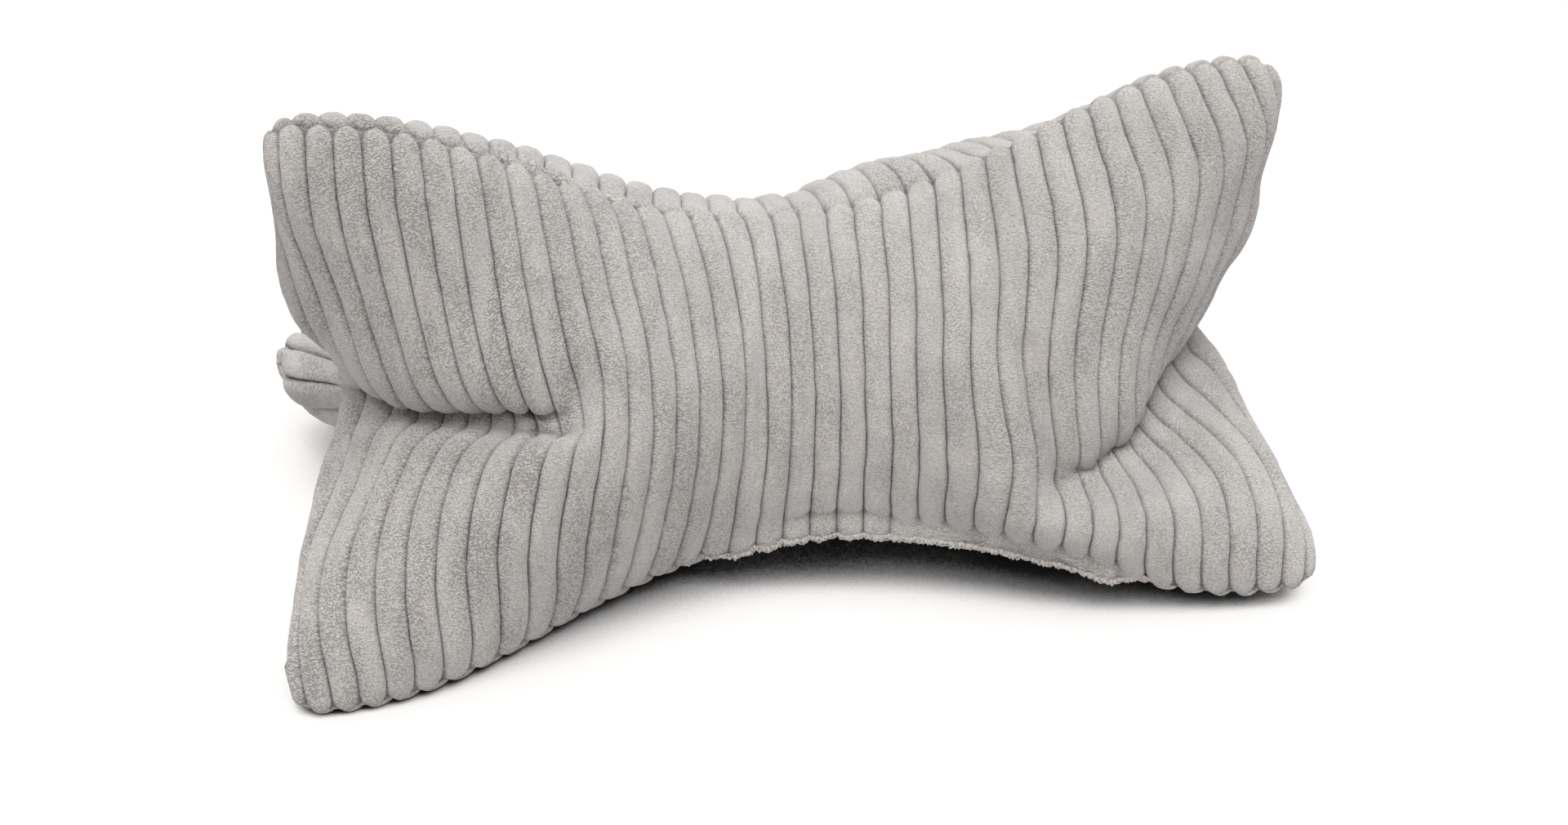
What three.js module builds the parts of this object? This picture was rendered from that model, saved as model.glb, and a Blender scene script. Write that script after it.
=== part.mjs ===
// Neck pillow: three bone-shaped panels of wide-wale corduroy, sewn to each other along three seams,
// filled, and lying on two of its three wings. Millimetres, +Z up, X along the pillow.
// The panels are drawn flat, sewn edge to edge, filled and set down by a small cloth solver, and the
// ribs are then raised in the points of the filled skin.
import * as THREE from "three";

// Cloth: ribs run across the pillow, from seam to seam
const RIB_PITCH = 11.8;
const RIB_COUNT = 39;
const RIB_RISE = 1.5;
const GROOVE_DROP = 1.6;
const RIB_SHOULDER = 0.25;

// Pattern of one flat panel, all three alike
const HALF_LENGTH = RIB_PITCH * RIB_COUNT / 2;
const WAIST_HALF_WIDTH = 79;
const LOBE_HALF_WIDTH = 149;
const CORNER_RADIUS = 20;
const END_BOW = 9;
const LOBE_BULGE = 11;

// Filling: what it takes up, the firm roll through the waist, and how it was set down
const FILL_VOLUME = 10.3e6;
const ROLL_RADIUS = 71;
const ROLL_HALF_LENGTH = 40;
const FLOOR_BELOW_AXIS = 82;
const CREASE_GAP = 2.5;

// Creases that run in from an end between two lobes. Panel 1 is the front one. Turn is how far the crease
// leans towards the floor, in degrees, across how far it strays from the panel's middle, as a part of the
// half width, and reach its length along the pillow.
const CREASES = [
  { panel: 1, end: -1, turn: 14, across: 0, reach: 112 },
  { panel: 1, end: 1, turn: 50, across: 0.5, reach: 118 },
];

// Lobes that lie over after filling. Wing 0 is the upper one and wing 1 the front one. Along, back and up
// are how far the lobe's tip moves, and the move fades out towards the waist and the neighbouring wings.
// Swell and flare are how far the lobe's end edge moves out, near the notch and near the tip.
const LOBES = [
  { wing: 0, end: -1, along: 2, back: -13.5, up: 13, swell: 2, flare: 3 },
  { wing: 0, end: 1, along: -3, back: 13.5, up: -6, swell: 0, flare: 7 },
  { wing: 1, end: -1, along: 2, back: -9, up: -6, swell: -10, flare: 4 },
  { wing: 1, end: 1, along: 0, back: 0, up: 4, swell: -11, flare: 4 },
  { wing: 2, end: -1, along: 3, back: 0, up: 0, swell: 0, flare: 0 },
  { wing: 2, end: 1, along: -9, back: 0, up: 0, swell: 0, flare: 0 },
];
const LOBE_START = 40;
const LOBE_DEPTH = 120;
const LOBE_SPREAD = 0.1;
const EDGE_START = 120;
const SWELL_TO = 0.6;
const FLARE_FROM = 0.5;

// Filling behind the top seam that has sagged near the right lobe, and gathered between it and the middle
const SAGS = [
  { panel: 0, at: 112, spread: 42, fromSeam: 25, drop: 12 },
  { panel: 0, at: 52, spread: 34, fromSeam: 20, drop: -8 },
];

// Middles of the two ends, where three lobes meet, that the filling pushes out a little
const NOTCHES = [
  { end: -1, out: 10 },
  { end: 1, out: 10 },
];
const NOTCH_START = 100;
const NOTCH_RADIUS = 80;

// Solver grid and settings
const LINES = RIB_COUNT * 2;
const ROWS = 12;
const STEPS = 500;
const ROLL_STEPS = 200;
const SWEEPS = 12;
const PRESSURE = 0.00017;
const DAMPING = 0.97;
const SLACK = 0.1;
const SQUEEZE = 0.03;
const SHEAR = 0.4;
const BEND = 0.005;
const OPENING = 0.3;

// Mesh of the finished skin: rows from a panel's middle to its seam, as parts of the half width
const SKIN_ROWS = [0, 0.16, 0.32, 0.48, 0.63, 0.77, 0.89, 0.96, 1];
const SEAM_DROP = 1.5;
const FLOOR_PRESS = 2;

// Closing seam on the front lower edge: a level lip, with its stitches two rows in from the edge. The seam
// hangs near the floor at the left and is drawn up at the right.
const CLOSING = { wing: 1, from: -40, to: 145, stitchDrop: 2.2, stitchRows: 2, lipOut: 4 };
const HANGS = [
  { at: -115, spread: 36, back: 10, up: -7 },
  { at: -55, spread: 45, back: 15, up: -16 },
  { at: 105, spread: 50, back: 0, up: 14 },
];
const HANG_DEPTH = 45;

const PANELS = 3;
const WING_STEP = 2 * Math.PI / PANELS;
const wingAngle = (wing) => Math.PI / 2 + wing * WING_STEP;
const wingOf = (panel, row) => (row > 0 ? panel : (panel + PANELS - 1) % PANELS);

function halfWidth(x) {
  const along = Math.abs(x);
  const swell = Math.sin(Math.PI / 2 * Math.min(1, along / HALF_LENGTH)) ** 2;
  const width = WAIST_HALF_WIDTH + (LOBE_HALF_WIDTH - WAIST_HALF_WIDTH) * swell;
  const past = Math.max(0, along - (HALF_LENGTH - CORNER_RADIUS));
  return width - CORNER_RADIUS + Math.sqrt(CORNER_RADIUS ** 2 - Math.min(past, CORNER_RADIUS) ** 2);
}

// Point of the flat panel: line counts along the pillow, part runs from -1 to 1 across the panel
function flatPoint(line, part) {
  const x = (line / LINES * 2 - 1) * HALF_LENGTH;
  const bow = END_BOW * (1 - part ** 2) + LOBE_BULGE * Math.sin(Math.PI * part) ** 2;
  return { x: x + bow * (x / HALF_LENGTH) ** 5, v: part * halfWidth(x) };
}

// Numbers the points of all panels. A panel's upper edge is sewn to the next panel's lower edge,
// its ends are folded in half onto the next panel's ends, and all three meet at the end's middle.
function sewnGrid(lastLine, lastRow) {
  const numbers = new Map();
  const at = (panel, line, row) => {
    const wing = wingOf(panel, row);
    const onEnd = line === 0 || line === lastLine;
    let key = `skin ${panel} ${line} ${row}`;
    if (onEnd && row === 0) key = `end ${line}`;
    else if (onEnd || Math.abs(row) === lastRow) key = `seam ${wing} ${line} ${Math.abs(row)}`;
    if (!numbers.has(key)) numbers.set(key, numbers.size);
    return numbers.get(key);
  };
  return { at, numbers };
}

function forEachPoint(lastLine, lastRow, visit) {
  for (let panel = 0; panel < PANELS; panel++) {
    for (let line = 0; line <= lastLine; line++) {
      for (let row = -lastRow; row <= lastRow; row++) visit(panel, line, row);
    }
  }
}

function triangles(grid, lastLine, lastRow) {
  const index = [];
  forEachPoint(lastLine, lastRow, (panel, line, row) => {
    if (line === lastLine || row === lastRow) return;
    const a = grid.at(panel, line, row);
    const b = grid.at(panel, line + 1, row);
    const c = grid.at(panel, line + 1, row + 1);
    const d = grid.at(panel, line, row + 1);
    for (const [p, q, r] of [[a, c, b], [a, d, c]]) {
      if (p !== q && q !== r && r !== p) index.push(p, q, r);
    }
  });
  return index;
}

// Links that keep the cloth at its flat size: along the pillow, along a rib, and corner to corner.
// Ribs squeeze together easily, so a link gives way when it is pressed short.
function clothLinks(grid) {
  const links = new Map();
  const reaches = [[1, 0, 1, SQUEEZE], [0, 1, 1, SLACK], [1, 1, SHEAR, SQUEEZE], [1, -1, SHEAR, SQUEEZE]];
  forEachPoint(LINES, ROWS, (panel, line, row) => {
    for (const [dLine, dRow, hold, slack] of reaches) {
      const line2 = line + dLine;
      const row2 = row + dRow;
      if (line2 > LINES || Math.abs(row2) > ROWS) continue;
      const a = grid.at(panel, line, row);
      const b = grid.at(panel, line2, row2);
      const p = flatPoint(line, row / ROWS);
      const q = flatPoint(line2, row2 / ROWS);
      const key = a < b ? `${a} ${b}` : `${b} ${a}`;
      if (a !== b && !links.has(key)) {
        links.set(key, { a, b, length: Math.hypot(p.x - q.x, p.v - q.v), hold, slack });
      }
    }
  });
  return [...links.values()];
}

// Runs of three neighbours that the cloth's stiffness keeps in a smooth curve
function clothBends(grid) {
  const bends = [];
  forEachPoint(LINES, ROWS, (panel, line, row) => {
    if (line > 0 && line < LINES) {
      bends.push([-1, 0, 1].map((step) => grid.at(panel, line + step, row)));
    }
    if (Math.abs(row) < ROWS) {
      bends.push([-1, 0, 1].map((step) => grid.at(panel, line, row + step)));
    }
  });
  return bends;
}

// Every panel starts folded along its middle, each half flat in its wing and opened a little
function foldedStart(grid) {
  const place = new Float64Array(grid.numbers.size * 3);
  forEachPoint(LINES, ROWS, (panel, line, row) => {
    const i = grid.at(panel, line, row) * 3;
    const flat = flatPoint(line, row / ROWS);
    const angle = wingAngle(wingOf(panel, row));
    const side = row > 0 ? -1 : 1;
    const r = Math.abs(flat.v);
    const toSeam = Math.min(halfWidth(flat.x) - r, HALF_LENGTH - Math.abs(flat.x));
    const open = row === 0 ? 0 : side * OPENING * Math.max(0, toSeam) ** 0.8;
    const middle = wingAngle(panel) - WING_STEP / 2;
    const out = line === 0 || line === LINES ? 0 : OPENING;
    place[i] = flat.x;
    place[i + 1] = r * Math.cos(angle) - open * Math.sin(angle) + out * Math.cos(middle);
    place[i + 2] = r * Math.sin(angle) + open * Math.cos(angle) + out * Math.sin(middle);
  });
  return place;
}

// The crease of a panel at one point of its length: how far across the panel it runs there, and the
// direction, seen along the pillow, of the plane that the lobes on either side of it press against
function creaseAt(panel, x) {
  const inward = HALF_LENGTH - Math.abs(x);
  const own = CREASES.find((row) => row.panel === panel && row.end === Math.sign(x) && inward <= row.reach);
  const turn = THREE.MathUtils.degToRad(own?.turn ?? 0);
  const part = own ? own.across * inward / own.reach : 0;
  return { part, direction: wingAngle(panel) - WING_STEP / 2 + turn };
}

function creasePlanes(grid) {
  const planes = Array.from({ length: grid.numbers.size }, () => []);
  forEachPoint(LINES, ROWS, (panel, line, row) => {
    const { part, direction } = creaseAt(panel, (line / LINES * 2 - 1) * HALF_LENGTH);
    const rowsOff = row - part * ROWS;
    if (rowsOff === 0) return;
    const turn = rowsOff > 0 ? Math.PI / 2 : -Math.PI / 2;
    const gap = line === 0 || line === LINES ? 0 : CREASE_GAP * Math.min(1, Math.abs(rowsOff) / 3);
    const plane = { y: Math.cos(direction + turn), z: Math.sin(direction + turn), gap };
    planes[grid.at(panel, line, row)].push(plane);
  });
  return planes;
}

function volumeOf(place, index) {
  let six = 0;
  for (let t = 0; t < index.length; t += 3) {
    const [a, b, c] = [index[t] * 3, index[t + 1] * 3, index[t + 2] * 3];
    six += place[a] * (place[b + 1] * place[c + 2] - place[b + 2] * place[c + 1])
      + place[a + 1] * (place[b + 2] * place[c] - place[b] * place[c + 2])
      + place[a + 2] * (place[b] * place[c + 1] - place[b + 1] * place[c]);
  }
  return six / 6;
}

function addPressure(place, index, speed, push) {
  for (let t = 0; t < index.length; t += 3) {
    const [a, b, c] = [index[t] * 3, index[t + 1] * 3, index[t + 2] * 3];
    const u = [0, 1, 2].map((n) => place[b + n] - place[a + n]);
    const w = [0, 1, 2].map((n) => place[c + n] - place[a + n]);
    const normal = [u[1] * w[2] - u[2] * w[1], u[2] * w[0] - u[0] * w[2], u[0] * w[1] - u[1] * w[0]];
    for (const corner of [a, b, c]) {
      for (let n = 0; n < 3; n++) speed[corner + n] += normal[n] * push;
    }
  }
}

function pullLinks(place, links) {
  for (const { a, b, length, hold, slack } of links) {
    const i = a * 3;
    const j = b * 3;
    const ex = place[j] - place[i];
    const ey = place[j + 1] - place[i + 1];
    const ez = place[j + 2] - place[i + 2];
    const now = Math.sqrt(ex * ex + ey * ey + ez * ez) || 1e-9;
    const pull = 0.5 * hold * (now < length ? slack : 1) * (now - length) / now;
    place[i] += ex * pull;
    place[i + 1] += ey * pull;
    place[i + 2] += ez * pull;
    place[j] -= ex * pull;
    place[j + 1] -= ey * pull;
    place[j + 2] -= ez * pull;
  }
}

function smoothBends(place, bends) {
  for (const [a, b, c] of bends) {
    for (let n = 0; n < 3; n++) {
      const pull = BEND * (place[a * 3 + n] + place[c * 3 + n] - 2 * place[b * 3 + n]) / 6;
      place[a * 3 + n] -= pull;
      place[b * 3 + n] += 2 * pull;
      place[c * 3 + n] -= pull;
    }
  }
}

// Keeps each point off the floor, on its own side of the creases, and outside the firm roll
function holdOff(place, planes, rollRadius) {
  planes.forEach((own, point) => {
    const i = point * 3;
    for (const { y, z, gap } of own) {
      const short = gap - (y * place[i + 1] + z * place[i + 2]);
      if (short > 0) {
        place[i + 1] += y * short;
        place[i + 2] += z * short;
      }
    }
    const past = Math.max(0, Math.abs(place[i]) - ROLL_HALF_LENGTH);
    const reach = Math.sqrt(Math.max(0, rollRadius ** 2 - past ** 2));
    const r = Math.hypot(place[i + 1], place[i + 2]);
    if (r < reach && r > 0) {
      place[i + 1] *= reach / r;
      place[i + 2] *= reach / r;
    }
    place[i + 2] = Math.max(place[i + 2], -FLOOR_BELOW_AXIS);
  });
}

// Presses the filling into the sewn skin and lets it settle
function filledSkin(grid) {
  const index = triangles(grid, LINES, ROWS);
  const links = clothLinks(grid);
  const bends = clothBends(grid);
  const planes = creasePlanes(grid);
  const place = foldedStart(grid);
  const speed = new Float64Array(place.length);
  for (let step = 0; step < STEPS; step++) {
    const before = place.slice();
    const wanting = Math.min(1, Math.max(0, (FILL_VOLUME - volumeOf(place, index)) * 3e-6));
    for (let n = 0; n < speed.length; n++) speed[n] *= DAMPING;
    addPressure(place, index, speed, PRESSURE * Math.min(1, step / 50) * wanting);
    for (let n = 0; n < place.length; n++) place[n] += speed[n];
    for (let sweep = 0; sweep < SWEEPS; sweep++) {
      pullLinks(place, links);
      smoothBends(place, bends);
      holdOff(place, planes, ROLL_RADIUS * Math.min(1, step / ROLL_STEPS));
    }
    for (let n = 0; n < place.length; n++) speed[n] = place[n] - before[n];
  }
  return place;
}

// Rises smoothly from 0 to 1 and back, as t goes from 0 to 1
const hump = (t) => Math.sin(Math.PI * THREE.MathUtils.clamp(t, 0, 1)) ** 2;

// Lays the lobes over: a point takes part in a move as far as it lies out along the lobe and its wing
function layLobes(place) {
  for (const { wing, end, along, back, up, swell, flare } of LOBES) {
    const angle = wingAngle(wing);
    for (let i = 0; i < place.length; i += 3) {
      const out = THREE.MathUtils.smoothstep(place[i] * end, LOBE_START, HALF_LENGTH);
      const r = Math.hypot(place[i + 1], place[i + 2]) || 1e-9;
      const aligned = (place[i + 1] * Math.cos(angle) + place[i + 2] * Math.sin(angle)) / r;
      const inWing = Math.max(0, (aligned - LOBE_SPREAD) / (1 - LOBE_SPREAD));
      const share = out * inWing * Math.min(1, r / LOBE_DEPTH);
      const edge = THREE.MathUtils.smoothstep(place[i] * end, EDGE_START, HALF_LENGTH) * inWing;
      const toTip = r / LOBE_HALF_WIDTH;
      const swelled = swell * hump(toTip / SWELL_TO) + flare * hump((toTip - FLARE_FROM) / (1 - FLARE_FROM));
      place[i] += along * share + end * edge * swelled;
      place[i + 1] += back * share;
      place[i + 2] += up * share;
    }
  }
}

function pushNotches(place) {
  for (const { end, out } of NOTCHES) {
    for (let i = 0; i < place.length; i += 3) {
      const near = THREE.MathUtils.smoothstep(place[i] * end, NOTCH_START, HALF_LENGTH - LOBE_START);
      const r = Math.hypot(place[i + 1], place[i + 2]);
      place[i] += end * out * near * (1 - THREE.MathUtils.smoothstep(r, 0, NOTCH_RADIUS));
    }
  }
}

// Smooth curve through four neighbours, and the filled skin read off between its grid points
function between(p0, p1, p2, p3, t) {
  const bent = 2 * p0 - 5 * p1 + 4 * p2 - p3 + t * (3 * (p1 - p2) + p3 - p0);
  return p1 + 0.5 * t * (p2 - p0 + t * bent);
}

function skinPoint(place, grid, panel, line, row) {
  const line0 = Math.min(LINES - 1, Math.floor(line));
  const row0 = Math.min(ROWS - 1, Math.floor(row));
  const clampLine = (n) => Math.max(0, Math.min(LINES, n));
  const clampRow = (n) => Math.max(-ROWS, Math.min(ROWS, n));
  return [0, 1, 2].map((axis) => {
    const across = [-1, 0, 1, 2].map((dRow) => {
      const four = [-1, 0, 1, 2].map((dLine) =>
        place[grid.at(panel, clampLine(line0 + dLine), clampRow(row0 + dRow)) * 3 + axis]);
      return between(...four, line - line0);
    });
    return between(...across, row - row0);
  });
}

// Three lines to a rib: its groove and its two shoulders
function ribLines() {
  const lines = [{ line: 0, lift: -GROOVE_DROP }];
  const perRib = LINES / RIB_COUNT;
  for (let rib = 0; rib < RIB_COUNT; rib++) {
    lines.push({ line: (rib + RIB_SHOULDER) * perRib, lift: RIB_RISE });
    lines.push({ line: (rib + 1 - RIB_SHOULDER) * perRib, lift: RIB_RISE });
    lines.push({ line: (rib + 1) * perRib, lift: -GROOVE_DROP });
  }
  return lines;
}

// How far the skin has sunk where the filling has sagged
function sagAt(panel, x, part) {
  let sunk = 0;
  for (const { at, spread, fromSeam, drop } of SAGS.filter((row) => row.panel === panel && part > 0)) {
    const depth = halfWidth(x) * (1 - part) / fromSeam;
    sunk += drop * Math.exp(-(((x - at) / spread) ** 2)) * depth * Math.exp(1 - depth);
  }
  return sunk;
}

// How far the closing seam hangs back and up from the filled skin, less with the distance from the seam
function hangAt(panel, x, row, part) {
  const move = { back: 0, up: 0 };
  if (wingOf(panel, row) !== CLOSING.wing || part === 0) return move;
  const toSeam = halfWidth(x) * (1 - Math.abs(part));
  for (const { at, spread, back, up } of HANGS) {
    const share = Math.exp(-(((x - at) / spread) ** 2)) * Math.exp(-((toSeam / HANG_DEPTH) ** 2));
    move.back += back * share;
    move.up += up * share;
  }
  return move;
}

// How far a point stands off the filled skin: raised on a rib, drawn in at a groove and at a seam
function standOff(panel, x, rowsIn, row, ribLift) {
  const closing = wingOf(panel, row) === CLOSING.wing && x > CLOSING.from && x < CLOSING.to;
  if (closing && rowsIn === CLOSING.stitchRows) return -CLOSING.stitchDrop;
  if (closing && rowsIn === 0) return CLOSING.lipOut;
  if (closing && rowsIn < CLOSING.stitchRows) return 0;
  return rowsIn === 0 ? ribLift - SEAM_DROP : ribLift;
}

function ribbedSkin() {
  const grid = sewnGrid(LINES, ROWS);
  const skin = sewnGrid(RIB_COUNT * 3, SKIN_ROWS.length - 1);
  forEachPoint(LINES, ROWS, (panel, line, row) => grid.at(panel, line, row));
  const place = filledSkin(grid);
  layLobes(place);
  pushNotches(place);
  const lines = ribLines();
  const lastLine = lines.length - 1;
  const lastRow = SKIN_ROWS.length - 1;
  const positions = [];
  const lifts = [];
  forEachPoint(lastLine, lastRow, (panel, line, row) => {
    const part = Math.sign(row) * SKIN_ROWS[Math.abs(row)];
    const point = skin.at(panel, line, row);
    const [x, y, z] = skinPoint(place, grid, panel, lines[line].line, part * ROWS);
    const rowsIn = line === 0 || line === lastLine ? 0 : lastRow - Math.abs(row);
    const hang = hangAt(panel, x, row, part);
    positions.splice(point * 3, 3, x, y + hang.back, z + hang.up + FLOOR_BELOW_AXIS - FLOOR_PRESS);
    lifts[point] = standOff(panel, x, rowsIn, row, lines[line].lift) - sagAt(panel, x, part);
  });
  const geometry = new THREE.BufferGeometry();
  geometry.setAttribute("position", new THREE.Float32BufferAttribute(positions, 3));
  geometry.setIndex(triangles(skin, lastLine, lastRow));
  geometry.computeVertexNormals();
  const position = geometry.getAttribute("position");
  const normal = geometry.getAttribute("normal");
  lifts.forEach((lift, point) => {
    position.setXYZ(
      point,
      position.getX(point) + normal.getX(point) * lift,
      position.getY(point) + normal.getY(point) * lift,
      Math.max(0, position.getZ(point) + normal.getZ(point) * lift),
    );
  });
  geometry.computeBoundingBox();
  const middle = geometry.boundingBox.getCenter(new THREE.Vector3());
  geometry.translate(-middle.x, -middle.y, 0);
  geometry.computeVertexNormals();
  return geometry;
}

const corduroy = new THREE.MeshStandardMaterial({ color: 0xbebab6, roughness: 0.95, metalness: 0 });
const pillow = new THREE.Mesh(ribbedSkin(), corduroy);
pillow.name = "pillow";

const neckPillow = new THREE.Group();
neckPillow.add(pillow);

export default neckPillow;
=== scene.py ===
import math

import bpy
import numpy as np
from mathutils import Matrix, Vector


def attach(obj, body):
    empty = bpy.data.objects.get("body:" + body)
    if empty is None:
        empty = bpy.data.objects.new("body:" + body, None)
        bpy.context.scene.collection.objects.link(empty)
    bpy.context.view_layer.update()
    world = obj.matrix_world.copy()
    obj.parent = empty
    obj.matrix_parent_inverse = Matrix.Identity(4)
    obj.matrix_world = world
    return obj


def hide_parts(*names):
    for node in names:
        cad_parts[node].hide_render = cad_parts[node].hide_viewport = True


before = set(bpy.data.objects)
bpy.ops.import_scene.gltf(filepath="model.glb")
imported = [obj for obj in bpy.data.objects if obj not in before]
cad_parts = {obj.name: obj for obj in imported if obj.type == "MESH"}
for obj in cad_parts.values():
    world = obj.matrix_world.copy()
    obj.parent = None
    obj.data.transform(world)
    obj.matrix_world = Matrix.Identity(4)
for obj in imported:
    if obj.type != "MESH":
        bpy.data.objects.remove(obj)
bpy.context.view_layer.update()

# Pillow, the pattern of its cover
# The cover is three like panels of wide-rib plush, each the shape of a bone.
# The ribs run across a panel from seam to seam, and a panel's two ends are cut along a rib.
rib_pitch = 11.8
rib_count = 39
half_length = rib_pitch * rib_count / 2
waist_half_width = 79.0
lobe_half_width = 149.0
corner_radius = 20.0
end_bow = 9.0
lobe_bulge = 11.0
panel_count = 3
lines = rib_count * 2
rows = 12


def half_width(x):
    """Half the width of a flat panel at x along the pillow."""
    along = np.abs(x)
    swell = np.sin(np.pi / 2 * np.minimum(1, along / half_length)) ** 2
    width = waist_half_width + (lobe_half_width - waist_half_width) * swell
    past = np.clip(along - (half_length - corner_radius), 0, corner_radius)
    return width - corner_radius + np.sqrt(corner_radius ** 2 - past ** 2)


def flat_panel(line, part):
    """Flat place of a panel's point: line counts along the pillow, part goes from -1 to 1 across it."""
    x = (line / lines * 2 - 1) * half_length
    bow = end_bow * (1 - part ** 2) + lobe_bulge * np.sin(np.pi * part) ** 2
    return x + bow * (x / half_length) ** 5, part * half_width(x)


# Pillow, sewing and filling
# The panels are sewn edge to edge, and each end is folded onto the next panel's end, so that the
# ends become stars of three lobes. Loose fibre fills the cover, firmest in a roll through the waist.
fill_volume = 10.3e6
roll_radius = 71.0
roll_half_length = 40.0
floor_below_axis = 82.0
floor_press = 2.0
crease_gap = 0.5
fill_steps = 500
sweeps = 12
pressure = 0.00017
full_pressure_step = 50
full_roll_step = 200
volume_to_go = 3e-6
damping = 0.97
first_opening = 0.3
squeeze_across_ribs = 0.03
squeeze_along_ribs = 0.1
shear_hold = 0.4
bend_hold = 0.0005
creases = [
    {
        "panel": 1, "end": -1, "turn": 14, "across": 0.0, "reach": 112,
        "over": 0.6, "under": 0.75, "swell": 7, "gather": 0, "fade": 85,
    },
    {
        "panel": 1, "end": 1, "turn": 50, "across": 0.5, "reach": 118,
        "over": 0.5, "under": 0.6, "swell": 5, "gather": 9, "fade": 28,
    },
]
lobe_start = 40.0
lobe_depth = 120.0
lobe_spread = 0.1
edge_start = 120.0
swell_to = 0.6
lobes = [
    {"wing": 0, "end": -1, "along": 2, "back": -13.5, "up": 13, "swell": 2, "flare": 3},
    {"wing": 0, "end": 1, "along": -3, "back": 13.5, "up": -6, "swell": 0, "flare": 7},
    {"wing": 1, "end": -1, "along": 2, "back": -9, "up": -6, "swell": -10, "flare": 4},
    {"wing": 1, "end": 1, "along": 0, "back": 0, "up": 4, "swell": -11, "flare": 4},
    {"wing": 2, "end": -1, "along": 3, "back": 0, "up": 0, "swell": 0, "flare": 0},
    {"wing": 2, "end": 1, "along": -9, "back": 0, "up": 0, "swell": 0, "flare": 0},
]
sags = [
    {"panel": 0, "at": 112, "spread": 42, "from_seam": 25, "drop": 12},
    {"panel": 0, "at": 52, "spread": 34, "from_seam": 20, "drop": -8},
]
notches = [
    {"end": -1, "out": 10},
    {"end": 1, "out": 10},
]
notch_start = 100.0
notch_radius = 80.0
wing_step = 2 * math.pi / panel_count


def sew(cover):
    """Brings together the points that two or three panels share along the seams and ends."""
    middle = cover.shape[2] // 2
    edge = (cover[:, :, -1] + np.roll(cover[:, :, 0], -1, axis=0)) / 2
    cover[:, :, -1] = edge
    cover[:, :, 0] = np.roll(edge, 1, axis=0)
    for end in (0, -1):
        lower = np.roll(cover[:, end, middle - 1::-1], -1, axis=0)
        edge = (cover[:, end, middle + 1:] + lower) / 2
        cover[:, end, middle + 1:] = edge
        cover[:, end, middle - 1::-1] = np.roll(edge, 1, axis=0)
        cover[:, end, middle] = cover[:, end, middle].mean(axis=0)


def pull(first, second, length, hold, slack):
    """Brings two sets of points to their flat distance, weakly where the cloth is squeezed."""
    gap = second - first
    now = np.sqrt((gap ** 2).sum(axis=-1)) + 1e-9
    give = np.where(now < length, slack, 1.0) * hold
    step = gap * (0.5 * give * (now - length) / now)[..., None]
    first += step
    second -= step


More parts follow.
